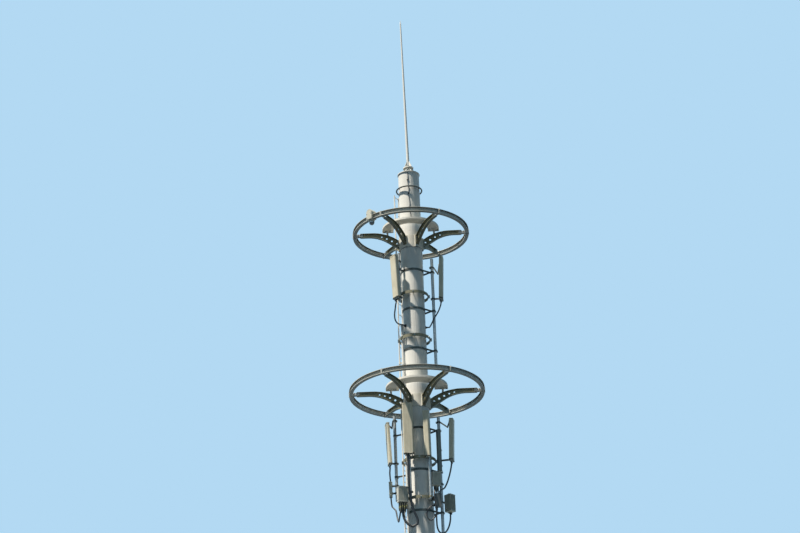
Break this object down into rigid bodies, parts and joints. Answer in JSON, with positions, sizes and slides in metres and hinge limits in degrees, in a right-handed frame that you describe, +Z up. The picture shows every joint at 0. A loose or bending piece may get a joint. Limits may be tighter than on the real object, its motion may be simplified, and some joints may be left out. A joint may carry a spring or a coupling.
{
  "type": "monopole cell tower",
  "caption": "Tapered tubular telecom monopole with ring platforms on curved tapered arms, clamped panel antennas, radio units, ladder and lightning rod.",
  "frame": {"origin": "centre of the base plate's underside, on the pole's axis", "axes": "+Z up along the pole, +X to the right and -Y towards a viewer who sees the front as in the picture"},
  "size_m": [3.396, 3.378, 36.76],
  "materials": {
    "pole_paint": "weathered",
    "frame_paint": "weathered",
    "galvanised": "satin",
    "dark_galvanised": "matte",
    "antenna_shell": "matte",
    "slate_shell": "matte",
    "radio_paint": "satin",
    "dark_radio_paint": "satin",
    "cable_rubber": "matte"
  },
  "bodies": {
    "root": {"base_plate": "pole_paint", "pole_foot": "pole_paint", "pole_lower": "pole_paint", "pole_middle": "pole_paint", "pole_upper": "pole_paint", "pole_top": "pole_paint", "hand_hole_cover": "pole_paint", "pole_cap": "pole_paint", "lightning_rod": "galvanised", "top_hoop": "dark_galvanised", "upper_ring": "frame_paint", "upper_arms": "frame_paint", "upper_hub": "pole_paint", "upper_deck": "frame_paint", "lower_ring": "frame_paint", "lower_arms": "frame_paint", "lower_hub": "pole_paint", "lower_deck": "frame_paint", "upper_hoops": "dark_galvanised", "lower_hoops": "dark_galvanised", "upper_clamps": "dark_galvanised", "lower_clamps": "dark_galvanised", "upper_right_pipe": "galvanised", "upper_left_pipe": "galvanised", "lower_right_pipe": "galvanised", "lower_left_pipe": "galvanised", "front_pipes": "galvanised", "upper_right_panel": "antenna_shell", "upper_left_panel": "antenna_shell", "lower_left_panel": "antenna_shell", "front_left_panel": "antenna_shell", "front_right_panel": "antenna_shell", "slim_panel": "slate_shell", "lower_right_panel": "antenna_shell", "panel_brackets": "dark_galvanised", "left_radio": "radio_paint", "small_radio": "radio_paint", "right_radio": "dark_radio_paint", "corner_radio": "radio_paint", "splitter_box": "dark_radio_paint", "radio_brackets": "dark_galvanised", "cable_conduit": "pole_paint", "conduit_clips": "galvanised", "cable_ports": "cable_rubber", "upper_cables": "cable_rubber", "lower_cables": "cable_rubber", "ladder_low": "galvanised", "ladder_mid": "galvanised", "ladder_high": "galvanised", "ladder_brackets": "galvanised", "ring_camera": "radio_paint"}
  },
  "joints": []
}
